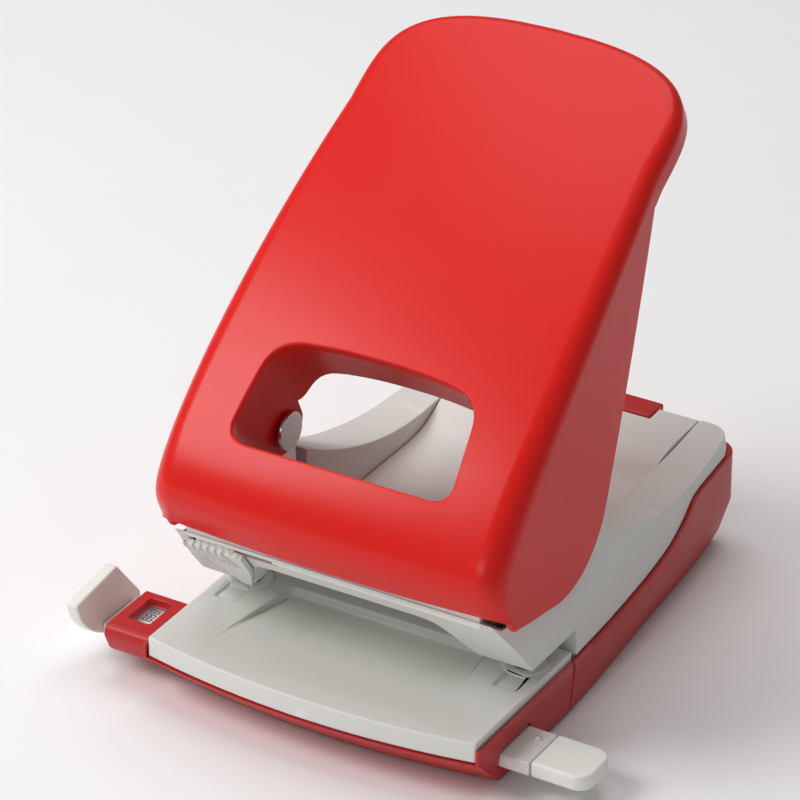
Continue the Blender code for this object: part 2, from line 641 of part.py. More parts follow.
# ---- lock slider ----------------------------------------------------------------------------------------------
def make_lock_slider(material, frame):
    """A thumb plate with a toothed upper edge on the sloping face, and a tongue through the slot behind it."""
    left, right, length = -0.0432, -0.0262, 0.0196
    teeth = 8
    pitch = (right - left) / teeth
    outline = [(left + 0.0100, -length), (left, -0.0020)]
    for i in range(teeth):
        outline += [(left + (i + 0.25) * pitch, 0.0), (left + (i + 0.75) * pitch, -0.0007)]
    outline += [(right, -0.0006), (right - 0.0008, -0.0100), (right - 0.0042, -length)]
    slider = prism("Y", outline, -0.0024, -0.0004)
    slope = math.atan2(0.786, 1.0)
    top_z = 0.0428
    slider.data.transform(Matrix.Translation((0.0, front_face_y(top_z), top_z)) @ Matrix.Rotation(slope, 4, "X"))
    join(slider, box((-0.0400, front_face_y(0.0420) - 0.0008, 0.0409), (-0.0290, -0.0170, 0.0430)))
    return finish(slider, "lock_slider", material, parent=frame, origin=(-0.0350, -0.0240, 0.0420))


# ---- paper guide ----------------------------------------------------------------------------------------------
def make_guide_rail(material, frame):
    rail = box((GUIDE_FACE_X + GAP, RAIL_Y[0], RAIL_Z[0]), (0.0560, RAIL_Y[1], RAIL_Z[1]))
    return finish(rail, "guide_rail", material, parent=frame, origin=GUIDE_ORIGIN)


def make_guide_stop(material, frame):
    """The upright end that the sheet's edge touches: flat on top, rounded under its front."""
    outline = [(-0.0190, 0.0224), (-0.0375, 0.0200), (-0.0362, 0.0152), (-0.0340, 0.0120), (-0.0305, 0.0086),
               (-0.0268, 0.0062), (-0.0230, 0.0046), (-0.0120, 0.0042), (-0.0082, 0.0088)]
    stop = prism("X", outline, -GUIDE_END_X, GUIDE_FACE_X)
    return finish(stop, "guide_stop", material, parent=frame, origin=GUIDE_ORIGIN)


def make_guide_end(material, frame):
    radius = 0.0045
    outline = [(0.0563, RAIL_Y[0]), (GUIDE_END_X - radius, RAIL_Y[0])]
    outline += arc((GUIDE_END_X - radius, RAIL_Y[0] + radius), radius, -72, 0, 4)
    outline += arc((GUIDE_END_X - radius, RAIL_Y[1] - radius), radius, 0, 72, 4)
    outline += [(GUIDE_END_X - radius, RAIL_Y[1]), (0.0563, RAIL_Y[1])]
    end = prism("Z", outline, RAIL_Z[0] - 0.0002, RAIL_Z[1] + 0.0004)
    return finish(end, "guide_end", material, parent=frame, origin=GUIDE_ORIGIN)


def make_scale_strip(material, frame):
    strip = box((-0.0660, -0.0290 + 0.0030, 0.0097), (0.0300, -0.0180 + 0.0040, 0.0101))
    return finish(strip, "scale_strip", material, parent=frame, origin=GUIDE_ORIGIN)


def make_scale_lens(material):
    lens = box((-0.0591, -0.0292, 0.0122), (-0.0531, -0.0178, 0.0132))
    return finish(lens, "scale_lens", material)


GUIDE_ORIGIN = (GUIDE_FACE_X, (RAIL_Y[0] + RAIL_Y[1]) / 2, (RAIL_Z[0] + RAIL_Z[1]) / 2)


# ---- assembly -------------------------------------------------------------------------------------------------
def build():
    clear_scene()
    red_plastic = make_material("red_plastic", (0.62, 0.035, 0.035), 0.35)
    red_lacquer = make_material("red_lacquer", (0.75, 0.030, 0.022), 0.22)
    grey_plastic = make_material("grey_plastic", (0.74, 0.75, 0.71), 0.45)
    pale_plastic = make_material("pale_plastic", (0.88, 0.88, 0.82), 0.40)
    steel = make_material("steel", (0.62, 0.62, 0.60), 0.30, 1.0)
    brass = make_material("brass", (0.72, 0.56, 0.28), 0.35, 1.0)
    rubber = make_material("rubber", (0.05, 0.05, 0.05), 0.85)
    clear_plastic = make_material("clear_plastic", (0.90, 0.92, 0.92), 0.08)

    make_front_base(red_plastic)
    make_front_pad(rubber)
    make_paper_tray(grey_plastic)
    make_die_plate(steel)
    make_housing(grey_plastic)
    make_rear_cover(grey_plastic)
    make_scale_lens(clear_plastic)

    tray_frame = joint_frame("chad_tray_slide", (0.0, SEAM_Y, 0.0))
    make_chad_tray(red_plastic, tray_frame)
    latch_frame = joint_frame("tray_latch_hinge", LATCH_HINGE)
    make_tray_latch(red_plastic, latch_frame)

    handle_frame = joint_frame("handle_hinge", (0.0, PIVOT_Y, PIVOT_Z))
    make_handle(red_lacquer, handle_frame)
    for side in (-1, 1):
        make_bracket(side, steel)
        make_bush(side, brass)
        for index in range(len(SCREW_X)):
            make_screw(side, index, steel)
        make_pivot_pin(side, steel, handle_frame)
        make_cam(side, steel, handle_frame)
        punch_frame = joint_frame(f"punch_slide_{side_name(side)}", (side * PUNCH_X, 0.0, PUNCH_TIP_Z))
        make_punch(side, steel, punch_frame)
        make_return_spring(side, steel, punch_frame)
        make_rear_pad(side, rubber, tray_frame)

    lock_frame = joint_frame("lock_slide", (-0.0350, -0.0240, 0.0420))
    make_lock_slider(grey_plastic, lock_frame)
    guide_frame = joint_frame("guide_slide", GUIDE_ORIGIN)
    make_guide_rail(grey_plastic, guide_frame)
    make_guide_stop(pale_plastic, guide_frame)
    make_guide_end(pale_plastic, guide_frame)
    make_scale_strip(pale_plastic, guide_frame)


build()
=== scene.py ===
"""Looks of the two-hole office punch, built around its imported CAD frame.

Pieces are laid out with Y = 0 on the line of the two punches and Z = 0 under the feet, and settle() moves
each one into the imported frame. All sizes are in metres.
"""

import json
import math

import bmesh
import bpy
from mathutils import Matrix, Vector


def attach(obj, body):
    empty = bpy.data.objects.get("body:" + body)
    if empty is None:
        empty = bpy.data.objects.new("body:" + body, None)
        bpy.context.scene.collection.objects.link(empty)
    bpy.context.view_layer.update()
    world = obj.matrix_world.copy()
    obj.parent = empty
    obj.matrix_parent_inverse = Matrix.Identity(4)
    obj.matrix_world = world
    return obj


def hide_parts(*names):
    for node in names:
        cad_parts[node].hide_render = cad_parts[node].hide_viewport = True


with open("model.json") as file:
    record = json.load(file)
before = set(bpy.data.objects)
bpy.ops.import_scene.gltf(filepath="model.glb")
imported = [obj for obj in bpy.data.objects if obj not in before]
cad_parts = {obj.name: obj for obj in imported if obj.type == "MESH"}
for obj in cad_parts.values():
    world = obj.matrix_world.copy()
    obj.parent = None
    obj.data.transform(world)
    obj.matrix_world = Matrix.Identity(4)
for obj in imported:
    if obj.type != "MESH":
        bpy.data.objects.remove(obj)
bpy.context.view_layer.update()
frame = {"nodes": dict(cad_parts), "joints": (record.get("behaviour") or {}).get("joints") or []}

# ---- driving dimensions --------------------------------------------------------------------------
PIVOT = (0.002, 0.063)                 # (y, z) of the handle's axis
HANDLE_HINGE = next(joint for joint in frame["joints"] if joint["name"] == "handle_hinge")
SHIFT = Vector((0.0, HANDLE_HINGE["pos_m"][1] - PIVOT[0], 0.0))

GAP = 0.0003                           # clearance between neighbouring pieces
UNDERSIDE_Z = 0.0008
FLOOR_TOP_Z = 0.0028                   # of the floor inside the base and the chad tray
PUNCH_X = 0.040
PUNCH_HOLE_RADIUS = 0.0032
SLOT_TOP_Z = 0.0242
TRAY_TOP_Z = 0.018
BASE_TOP_Z = 0.012
SEAM_Y = 0.0093
REAR_Y = 0.1085
BASE_HALF_WIDTH = 0.0485
DECK_HALF_WIDTH = 0.033
BLOCK_TOP_Z = 0.0450
SHOULDER_Z = 0.0378
RAIL_Y = (-0.0268, -0.0122)
RAIL_Z = (0.0056, 0.0094)
GUIDE_FACE_X = -0.0685
GUIDE_END_X = 0.072
DECK_TOP_Z = 0.0338                    # of the deck and the rims at the back
BAND_TOP_Z = 0.0280                    # of the chad tray at the back
LATCH_HALF_WIDTH = 0.0210
LATCH_LOW_Z = 0.0195
LATCH_WAY_X = LATCH_HALF_WIDTH + GAP

SLIVER = 0.00003
AXES = {"X": 0, "Y": 1, "Z": 2}
SIDES = {"left": -1, "right": 1}


# ---- modelling helpers ---------------------------------------------------------------------------
def add_object(name, shape):
    bmesh.ops.recalc_face_normals(shape, faces=shape.faces)
    mesh = bpy.data.meshes.new(name)
    shape.to_mesh(mesh)
    shape.free()
    item = bpy.data.objects.new(name, mesh)
    bpy.context.scene.collection.objects.link(item)
    return item


def spot(axis, first, second, along):
    """A 3-D point from two coordinates in the plane across an axis and one along it."""
    across = [first, second]
    return Vector([along if i == AXES[axis] else across.pop(0) for i in range(3)])


def bridge(shape, first, second, closed=True):
    """Quads between two rows of vertices of equal length."""
    for i in range(len(first) if closed else len(first) - 1):
        j = (i + 1) % len(first)
        shape.faces.new((first[i], first[j], second[j], second[i]))


def prism(axis, outline, low, high):
    shape = bmesh.new()
    ends = [[shape.verts.new(spot(axis, a, b, along)) for a, b in outline] for along in (low, high)]
    for end in ends:
        shape.faces.new(end)
    bridge(shape, *ends)
    return add_object("prism", shape)


def loft(levels):
    """Joins outlines (x, y) of equal length at rising heights: [(z, outline), ...], with flat triangles."""
    shape = bmesh.new()
    rings = [[shape.verts.new((x, y, z)) for x, y in outline] for z, outline in levels]
    shape.faces.new(rings[0])
    shape.faces.new(rings[-1])
    for lower, upper in zip(rings, rings[1:]):
        bridge(shape, lower, upper)
    bmesh.ops.triangulate(shape, faces=[face for face in shape.faces if len(face.verts) == 4])
    return add_object("loft", shape)


def lathe(axis, centre, profile, sides=64):
    """Turns a profile [(radius, along), ...] round an axis; the first and last radius are 0."""
    shape = bmesh.new()
    rings = []
    for radius, along in profile[1:-1]:
        rings.append([shape.verts.new(spot(axis, *point, along)) for point in circle(centre, radius, sides)])
    for ring, (_, along) in ((rings[0], profile[0]), (rings[-1], profile[-1])):
        tip = shape.verts.new(spot(axis, *centre, along))
        for i in range(sides):
            shape.faces.new((tip, ring[i], ring[(i + 1) % sides]))
    for lower, upper in zip(rings, rings[1:]):
        bridge(shape, lower, upper)
    return add_object("lathe", shape)


def block(low, high):
    outline = [(low[0], low[1]), (high[0], low[1]), (high[0], high[1]), (low[0], high[1])]
    return prism("Z", outline, low[2], high[2])


def arc(centre, radius, start, end, steps):
    """Points on a circle; angles in degrees."""
    points = []
    for i in range(steps + 1):
        angle = math.radians(start + (end - start) * i / steps)
        points.append((centre[0] + radius * math.cos(angle), centre[1] + radius * math.sin(angle)))
    return points


def circle(centre, radius, sides=48):
    return arc(centre, radius, 0, 360, sides)[:-1]


def disc(axis, centre, radius, low, high):
    return prism(axis, circle(centre, radius), low, high)


def rounded(points, radius, steps=6):
    """Rounds each corner of a closed outline; a point may carry its own radius as a third number."""
    result = []
    for i, point in enumerate(points):
        here, before = Vector(point[:2]), Vector(points[i - 1][:2])
        after = Vector(points[(i + 1) % len(points)][:2])
        reach = point[2] if len(point) > 2 else radius
        start = here + (before - here) * min(0.48, reach / (before - here).length)
        end = here + (after - here) * min(0.48, reach / (after - here).length)
        for k in range(steps + 1):
            t = k / steps
            result.append(tuple(start * (1 - t) ** 2 + here * 2 * t * (1 - t) + end * t * t))
    return result


def mirrored(half):
    """A closed outline from its right half, given from bottom to top."""
    return half + [(-x, *rest) for x, *rest in reversed(half)]


def span(side, near, far):
    """Lowest and highest X of a stretch on the left or the right side."""
    return tuple(sorted((side * near, side * far)))


def apply_modifiers(item):
    evaluated = item.evaluated_get(bpy.context.evaluated_depsgraph_get())
    mesh = bpy.data.meshes.new_from_object(evaluated)
    item.modifiers.clear()
    item.data = mesh


def combine(target, others, operation):
    for other in others:
        step = target.modifiers.new("combine", "BOOLEAN")
        step.operation = operation
        step.solver = "EXACT"
        step.object = other
        apply_modifiers(target)
        bpy.data.objects.remove(other, do_unlink=True)
    return target


def cut(target, *others):
    return combine(target, others, "DIFFERENCE")


def join(target, *others):
    return combine(target, others, "UNION")


def keep(target, *others):
    return combine(target, others, "INTERSECT")


def place(item, matrix):
    item.data.transform(matrix)
    return item


def tidy(item, reach=SLIVER):
    """Merges the slivers that Booleans leave, and turns every face outwards."""
    shape = bmesh.new()
    shape.from_mesh(item.data)
    bmesh.ops.remove_doubles(shape, verts=shape.verts, dist=reach)
    bmesh.ops.dissolve_degenerate(shape, dist=reach, edges=shape.edges)
    bmesh.ops.recalc_face_normals(shape, faces=shape.faces)
    shape.to_mesh(item.data)
    shape.free()
    return item


def soften(item, radius, segments=3, angle=35, reach=0.35):
    """Rounds the sharp edges, once edges shorter than a share of the rounding are merged away."""
    tidy(item, max(SLIVER, reach * radius))
    step = item.modifiers.new("soften", "BEVEL")
    step.width = radius
    step.segments = segments
    step.limit_method = "ANGLE"
    step.angle_limit = math.radians(angle)
    step.use_clamp_overlap = False
    apply_modifiers(item)
    return item


def settle(item, name, body, finish, stands_for=(), smooth_angle=40):
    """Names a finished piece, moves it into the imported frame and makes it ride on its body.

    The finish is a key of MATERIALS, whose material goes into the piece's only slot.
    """
    item.name = name
    item.data.transform(Matrix.Translation(SHIFT))
    item.data.materials.clear()
    item.data.materials.append(MATERIALS[finish])
    shape = bmesh.new()
    shape.from_mesh(item.data)
    bmesh.ops.dissolve_degenerate(shape, dist=1e-6, edges=shape.edges)
    for face in shape.faces:
        face.smooth = True
        face.material_index = 0
    for edge in shape.edges:
        edge.smooth = len(edge.link_faces) == 2 and edge.calc_face_angle(0.0) < math.radians(smooth_angle)
    shape.to_mesh(item.data)
    shape.free()
    weighted = item.modifiers.new("weighted", "WEIGHTED_NORMAL")
    weighted.keep_sharp = True
    apply_modifiers(item)
    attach(item, body)
    if stands_for:
        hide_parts(*stands_for)
    return item


# ---- materials -----------------------------------------------------------------------------------
def link(tree, source, output, target, socket):
    tree.links.new(source.outputs[output], target.inputs[socket])


def noise(tree, coordinates, scale, detail=4.0, stretch=(1.0, 1.0, 1.0)):
    mapping = tree.nodes.new("ShaderNodeMapping")
    mapping.inputs["Scale"].default_value = stretch
    texture = tree.nodes.new("ShaderNodeTexNoise")
    texture.inputs["Scale"].default_value = scale
    texture.inputs["Detail"].default_value = detail
    link(tree, coordinates, "Object", mapping, "Vector")
    link(tree, mapping, "Vector", texture, "Vector")
    return texture


def spread(tree, source, output, low, high, target, socket, start=0.3, end=0.7):
    """Maps a texture's middle range to a range of a shader value."""
    ranged = tree.nodes.new("ShaderNodeMapRange")
    ranged.inputs["From Min"].default_value = start
    ranged.inputs["From Max"].default_value = end
    ranged.inputs["To Min"].default_value = low
    ranged.inputs["To Max"].default_value = high
    link(tree, source, output, ranged, "Value")
    link(tree, ranged, "Result", target, socket)


def blend_colours(tree, first, second):
    mix = tree.nodes.new("ShaderNodeMix")
    mix.data_type = "RGBA"
    mix.inputs["A"].default_value = (*first, 1.0)
    mix.inputs["B"].default_value = (*second, 1.0)
    return mix


EDGE_WEAR = (0.53, 0.62)               # pointiness where an edge begins to look worn and where it fully does
COAT_ROUGHNESS = 0.20
BUMP_HEIGHT = 0.0002


def surface(name, colour, roughness, metallic=0.0, grain=900.0, grain_depth=0.02, mottle=0.05, wear=0.12,
            coat=0.0, specular=0.5, stretch=(1.0, 1.0, 1.0), unevenness=0.03):
    """A surface with fine grain, patchy gloss, a slight drift of colour and paler worn edges."""
    material = bpy.data.materials.new(name)
    material.use_nodes = True
    tree = material.node_tree
    shader = tree.nodes["Principled BSDF"]
    shader.inputs["Metallic"].default_value = metallic
    shader.inputs["Specular IOR Level"].default_value = specular
    shader.inputs["Coat Weight"].default_value = coat
    shader.inputs["Coat Roughness"].default_value = COAT_ROUGHNESS
    coordinates = tree.nodes.new("ShaderNodeTexCoord")

    drift = noise(tree, coordinates, 22.0)
    body = blend_colours(tree, colour, [channel * (1 - mottle) for channel in colour])
    spread(tree, drift, "Fac", 0.0, 1.0, body, "Factor")
    worn = blend_colours(tree, colour, [channel + (1 - channel) * wear for channel in colour])
    link(tree, body, "Result", worn, "A")
    geometry = tree.nodes.new("ShaderNodeNewGeometry")
    spread(tree, geometry, "Pointiness", 0.0, 1.0, worn, "Factor", *EDGE_WEAR)
    link(tree, worn, "Result", shader, "Base Color")

    patches = noise(tree, coordinates, 60.0, 3.0, stretch)
    spread(tree, patches, "Fac", roughness - unevenness, roughness + unevenness, shader, "Roughness")
    fine = noise(tree, coordinates, grain, 2.0, stretch)
    bump = tree.nodes.new("ShaderNodeBump")
    bump.inputs["Strength"].default_value = grain_depth
    bump.inputs["Distance"].default_value = BUMP_HEIGHT
    link(tree, fine, "Fac", bump, "Height")
    link(tree, bump, "Normal", shader, "Normal")
    return material


def clear_cover(name):
    """A thin clear cover with a faintly uneven gloss."""
    material = surface(name, (0.90, 0.92, 0.92), 0.10, grain_depth=0.01, mottle=0.02, wear=0.0)
    material.node_tree.nodes["Principled BSDF"].inputs["Alpha"].default_value = 0.07
    return material


MATERIALS = {
    "red_lacquer": surface("lacquer", (0.72, 0.014, 0.010), 0.30, coat=0.12, specular=0.20, grain=1400.0,
                           grain_depth=0.010, mottle=0.02, wear=0.0, unevenness=0.01),
    "red_plastic": surface("red_plastic", (0.52, 0.018, 0.020), 0.38, specular=0.35, grain_depth=0.04,
                           mottle=0.05, wear=0.06),
    "grey_plastic": surface("grey_plastic", (0.74, 0.74, 0.70), 0.46, grain_depth=0.05, mottle=0.03,
                            wear=0.30),
    "pale_plastic": surface("pale_plastic", (0.84, 0.84, 0.79), 0.42, grain_depth=0.04, mottle=0.02,
                            wear=0.30),
    "clear_plastic": clear_cover("clear_plastic"),
    "steel": surface("steel", (0.64, 0.63, 0.62), 0.30, metallic=1.0, grain=700.0, grain_depth=0.05,
                     wear=0.25, stretch=(1.0, 1.0, 7.0)),
    "spring_steel": surface("spring_steel", (0.48, 0.48, 0.50), 0.26, metallic=1.0, grain_depth=0.03),
    "brass": surface("brass", (0.75, 0.56, 0.26), 0.32, metallic=1.0, grain_depth=0.04,
                     stretch=(6.0, 1.0, 1.0)),
    "rubber": surface("rubber", (0.035, 0.035, 0.036), 0.80, grain=500.0, grain_depth=0.25, mottle=0.25,
                      wear=0.05),
    "ink": surface("ink", (0.030, 0.030, 0.032), 0.55, grain_depth=0.02, wear=0.0),
    "red_ink": surface("red_ink", (0.70, 0.04, 0.03), 0.55, grain_depth=0.02, wear=0.0),
}


# ---- outlines that several pieces share ----------------------------------------------------------
FRONT_CORNER_Y = -0.0379
FRONT_BOW = 0.0048
FRONT_SLOPE = 0.786            # how far the housing's front face moves back for each unit it drops
LEAN_LENGTH = 0.045            # the chad tray's sides lean in more and more over this length
SEAM_LEAN = 0.0015             # at the seam, where they meet the front base's sides
SIDE_LEAN = 0.0042
LEAN_TOP_Z = 0.0138            # the sides are upright above this height


def front_outline(half_width, corner_y, rear_y, steps=36):
    """Plan outline with a straight back and a front bowed forward between its corners."""
    points = []
    for i in range(steps + 1):
        x = -half_width + 2 * half_width * i / steps
        points.append((x, corner_y - FRONT_BOW * (1 - (x / half_width) ** 2)))
    return points + [(half_width, rear_y), (-half_width, rear_y)]


def body_half_width(y):
    """Half width of the body at the place y: it tapers towards the rear."""
    taper_start, taper_length, taper, widest = 0.015, 0.085, 0.0044, 0.0479
    share = max(0.0, (y - taper_start) / taper_length)
    return widest - taper * share ** 2


def rear_outline(offset, front_y, rear_y, leans=(0.0, 0.0), corner=0.007, steps=22):
    """Plan outline of the back half: tapering sides and a rounded rear, grown by an offset.

    Each side also steps in by the first lean at the seam and by the second one further back.
    """
    half = []
    for i in range(steps + 1):
        y = front_y + (rear_y - corner - front_y) * i / steps
        share = max(0.0, min(1.0, (y - SEAM_Y) / LEAN_LENGTH))
        lean = leans[0] + (leans[1] - leans[0]) * share
        half.append((body_half_width(y) + offset - lean, y))
    half += arc((half[-1][0] - corner, rear_y - corner), corner, 0, 90, 10)[1:]
    return mirrored(half)


def rim_contour(steps=40):
    """Side view of the two rims beside the deck, from the pivot down to the dip and up to the back."""
    front_y, dip_y, rear_y, dip_z = 0.0175, 0.074, 0.102, 0.032
    front_climb, front_length, front_power = 0.0171, 0.0565, 1.9
    back_climb, back_length = 0.0018, 0.028
    points = []
    for i in range(steps + 1):
        y = front_y + (rear_y - front_y) * i / steps
        if y < dip_y:
            climb = front_climb * ((dip_y - y) / front_length) ** front_power
        else:
            climb = back_climb * ((y - dip_y) / back_length) ** 2
        points.append((y, dip_z + climb))
    return points


def band_contour(lift=0.0):
    """Side view of the chad tray's upper edge, which steps up round the rear corners."""
    line = [(0.0, 0.0157), (0.030, 0.0172), (0.050, 0.0186), (0.064, 0.0204), (0.0720, 0.0235),
            (0.0775, 0.0272), (0.0815, BAND_TOP_Z), (0.0950, BAND_TOP_Z), (0.130, BAND_TOP_Z)]
    return [(y, z + lift) for y, z in rounded(line, 0.0050)[4:-4]]


def front_face_y(z):
    """Y of the housing's sloping front face at a height."""
    return -0.0284 + (0.0466 - z) * FRONT_SLOPE


# ---- base and paper tray -------------------------------------------------------------------------
def make_front_base():
    setback, inner_rear_y = 0.0119, SEAM_Y - 0.012
    bottom = front_outline(0.0473, FRONT_CORNER_Y + setback, SEAM_Y)
    rim = front_outline(BASE_HALF_WIDTH, FRONT_CORNER_Y, SEAM_Y)
    base = loft([(UNDERSIDE_Z, bottom), (BASE_TOP_Z, rim), (0.0160, rim)])
    side_view = [(-0.0340, 0.0150), (-0.0350, 0.0125), (-0.0325, 0.0070), (-0.0280, 0.0040),
                 (-0.0160, 0.0040), (-0.0145, 0.0058), (-0.0145, 0.0150)]
    window_block = prism("X", rounded(side_view, 0.0016), -0.0624, -0.0470)
    join(base, window_block)
    inner_floor = front_outline(0.0448, FRONT_CORNER_Y + setback + 0.0005, inner_rear_y)
    inner_rim = front_outline(0.0455, FRONT_CORNER_Y + 0.0026, inner_rear_y)
    pocket = loft([(FLOOR_TOP_Z, inner_floor), (BASE_TOP_Z + 0.001, inner_rim)])
    tray_seat = block((-0.0475, -0.06, BASE_TOP_Z), (0.0475, 0.02, 0.02))
    chad_way = block((-0.0455, -0.0095, -0.001), (0.0455, 0.02, 0.0125))
    rail_way = block((-0.08, -0.0272, 0.0052), (0.08, -0.0118, 0.0104))
    scale_way = block((-0.08, -0.0266, 0.0100), (-0.0516, -0.0134, 0.0120))
    window_corners = [(-0.0593, -0.0284), (-0.0528, -0.0284), (-0.0528, -0.0176), (-0.0593, -0.0176)]
    window = prism("Z", rounded(window_corners, 0.0010), 0.0090, 0.02)
    pad_seat = block((-0.0363, -0.0243, -0.001), (0.0363, -0.0127, 0.0019))
    cut(base, pocket, tray_seat, chad_way, rail_way, scale_way, window, pad_seat)
    soften(base, 0.0003)
    return settle(base, "base_moulding", "base", "red_plastic", ["front_base"])


def make_paper_tray():
    """The deck under the sheet: dished in the middle, with a raised ring round each punch hole."""
    outline = front_outline(0.0472, FRONT_CORNER_Y + 0.0005, 0.0106)
    tray = prism("Z", outline, BASE_TOP_Z + GAP, TRAY_TOP_Z)
    dish = prism("X", [(-0.0345, 0.03), (-0.0345, TRAY_TOP_Z - 0.00005), (0.0012, TRAY_TOP_Z - 0.0025),
                       (0.0016, 0.03)], -0.05, 0.05)
    dish_corners = [(0.0342, -0.036), (0.0285, 0.002), (-0.0285, 0.002), (-0.0342, -0.036)]
    keep(dish, prism("Z", rounded(dish_corners, 0.0030), 0.0, 0.04))
    die_seat = block((-0.0461, -0.0073, 0.0), (0.0461, 0.0093, 0.0151))
    cut(tray, dish, die_seat)
    for side in SIDES.values():
        ring = disc("Z", (side * PUNCH_X, 0.0), 0.0058, TRAY_TOP_Z - 0.001, TRAY_TOP_Z + 0.0005)
        join(tray, ring)
        low, high = span(side, 0.0376, 0.0436)
        mark = block((low, -0.0122, TRAY_TOP_Z - 0.0007), (high, -0.0052, TRAY_TOP_Z + 0.001))
        punch_hole = disc("Z", (side * PUNCH_X, 0.0), PUNCH_HOLE_RADIUS, 0.0, 0.03)
        cut(tray, mark, punch_hole)
    soften(tray, 0.0005)
    return settle(tray, "tray_deck", "base", "grey_plastic", ["paper_tray"])


# ---- housing and deck ----------------------------------------------------------------------------
def housing_body():
    """Side view drawn across, kept inside walls that lean in above the shoulder."""
    side_view = [(front_face_y(z), z) for z in (SLOT_TOP_Z, BLOCK_TOP_Z)] + [(-0.0226, 0.0419)]
    side_view += arc(PIVOT, PIVOT[1] - SHOULDER_Z, -106, -90, 8)
    side_view += [(0.0160, 0.0384), (0.0160, 0.0495)] + rim_contour()
    side_view += [(0.1060, DECK_TOP_Z), (0.1060, 0.0140), (0.0117, 0.0140), (0.0117, SLOT_TOP_Z)]
    body = prism("X", side_view, -0.06, 0.06)
    walls = [(0.0, 0.0), (0.0310, 0.0), (0.0350, -0.0006), (0.0400, -0.0018), (0.0460, -0.0026),
             (0.0800, -0.0027)]
    return keep(body, loft([(z, rear_outline(lean, -0.035, 0.1055)) for z, lean in walls]))


def throat():
    """The arched opening between the two punches, with a soft S on each side."""
    low_z = SLOT_TOP_Z - 0.001
    half = [(0.0600, 0.0100), (0.0600, low_z), (0.0335, low_z), (0.0318, 0.0246, 0.003),
            (0.0262, 0.0358, 0.004), (0.0225, 0.0370, 0.003)]
    return prism("Y", rounded(mirrored(half), 0.0005), -0.06, 0.0025)


def punch_room():
    """The space inside the front block, open at the top, round the back of the throat."""
    floor_z, front_y, rear_y, open_z = 0.0266, -0.0244, 0.0130, 0.08
    side_view = [(front_face_y(floor_z) + 0.0034, floor_z), (front_y, 0.0450), (front_y, open_z),
                 (rear_y, open_z), (rear_y, floor_z)]
    room = prism("X", side_view, -0.0452, 0.0452)
    return cut(room, block((-0.033, -0.05, 0.0), (0.033, 0.0045, 0.039)))


def make_housing():
    body = housing_body()
    sill = block((-0.0420, -0.0268, 0.0430), (0.0420, -0.0250, 0.0485))
    join(body, sill)
    ring = prism("X", band_contour(GAP) + [(0.13, -0.01), (SEAM_Y + GAP, -0.01)], -0.07, 0.07)
    cut(ring, prism("Z", rear_outline(-0.0010, -0.05, 0.1055), -0.02, 0.06))
    cut(body, punch_room(), throat(), ring)
    deck_way = block((-DECK_HALF_WIDTH - GAP, 0.0160, 0.0), (DECK_HALF_WIDTH + GAP, 0.12, 0.08))
    lock_way = block((-0.0415, -0.0320, 0.0405), (-0.0170, -0.0150, 0.0436))
    cut(body, deck_way, lock_way)
    for side in SIDES.values():
        cut(body, disc("Z", (side * PUNCH_X, 0.0), PUNCH_HOLE_RADIUS, 0.02, 0.03))
    soften(body, 0.0003)
    return settle(body, "housing_shell", "base", "grey_plastic", ["housing"])


def make_rear_cover():
    top = [(0.0163, 0.0300), (0.0240, 0.0276), (0.0680, 0.0270), (0.0750, 0.0280), (0.0840, 0.0326),
           (0.0900, DECK_TOP_Z - 0.0003), (0.1055, DECK_TOP_Z, 0.001)]
    under = [(0.1055, 0.0160, 0.0005), (0.1035, 0.0160, 0.0005), (0.1035, 0.0318, 0.001), (0.0905, 0.0316),
             (0.0852, 0.0308), (0.0770, 0.0264), (0.0685, 0.0250), (0.0240, 0.0256), (0.0163, 0.0280)]
    cover = prism("X", rounded(top + under, 0.0040), -DECK_HALF_WIDTH, DECK_HALF_WIDTH)
    cut(cover, block((-LATCH_WAY_X, 0.0995, 0.0319), (LATCH_WAY_X, 0.11, 0.04)))
    soften(cover, 0.0003)
    return settle(cover, "deck_cover", "base", "grey_plastic", ["rear_cover"])


# ---- chad tray -----------------------------------------------------------------------------------
def tray_walls(offset, front_y, rear_y):
    """The space within the chad tray's sides, which lean out up to LEAN_TOP_Z."""
    upright = rear_outline(offset, front_y, rear_y)
    leaning = rear_outline(offset, front_y, rear_y, (SEAM_LEAN, SIDE_LEAN))
    return loft([(-0.01, leaning), (0.0, leaning), (LEAN_TOP_Z, upright), (0.06, upright)])


def make_chad_tray():
    seam_y, inner_rear_y = SEAM_Y + GAP, 0.1062
    profile = [(seam_y, UNDERSIDE_Z), (0.0960, UNDERSIDE_Z), (0.1050, 0.0045), (REAR_Y, 0.0150),
               (REAR_Y, BAND_TOP_Z)]
    contour = [point for point in band_contour() if seam_y < point[0] < REAR_Y]
    tray = prism("X", profile + list(reversed(contour)) + [(seam_y, 0.0160)], -0.06, 0.06)
    keep(tray, tray_walls(0.0009, -0.02, REAR_Y))
    join(tray, block((-0.0450, -0.0092, UNDERSIDE_Z), (0.0450, 0.0120, 0.0115)))
    inside = prism("X", [(0.0, FLOOR_TOP_Z), (0.0950, FLOOR_TOP_Z), (0.1035, 0.0062), (inner_rear_y, 0.0135),
                         (inner_rear_y, 0.06), (0.0, 0.06)], -0.06, 0.06)
    cut(tray, keep(inside, tray_walls(-0.0003, SEAM_Y - 0.001, inner_rear_y)))
    cut(tray, block((-0.0434, -0.0076, FLOOR_TOP_Z), (0.0434, 0.0200, 0.02)))
    cut(tray, block((-LATCH_WAY_X, 0.1040, LATCH_LOW_Z - GAP), (LATCH_WAY_X, 0.12, 0.05)))
    for side in SIDES.values():
        low, high = span(side, 0.0177, 0.0363)
        pad_seat = block((low, 0.0757, -0.001), (high, 0.0903, 0.0019))
        cut(tray, pad_seat)
    soften(tray, 0.0004)
    return settle(tray, "chad_box", "chad_tray", "red_plastic", ["chad_tray"])


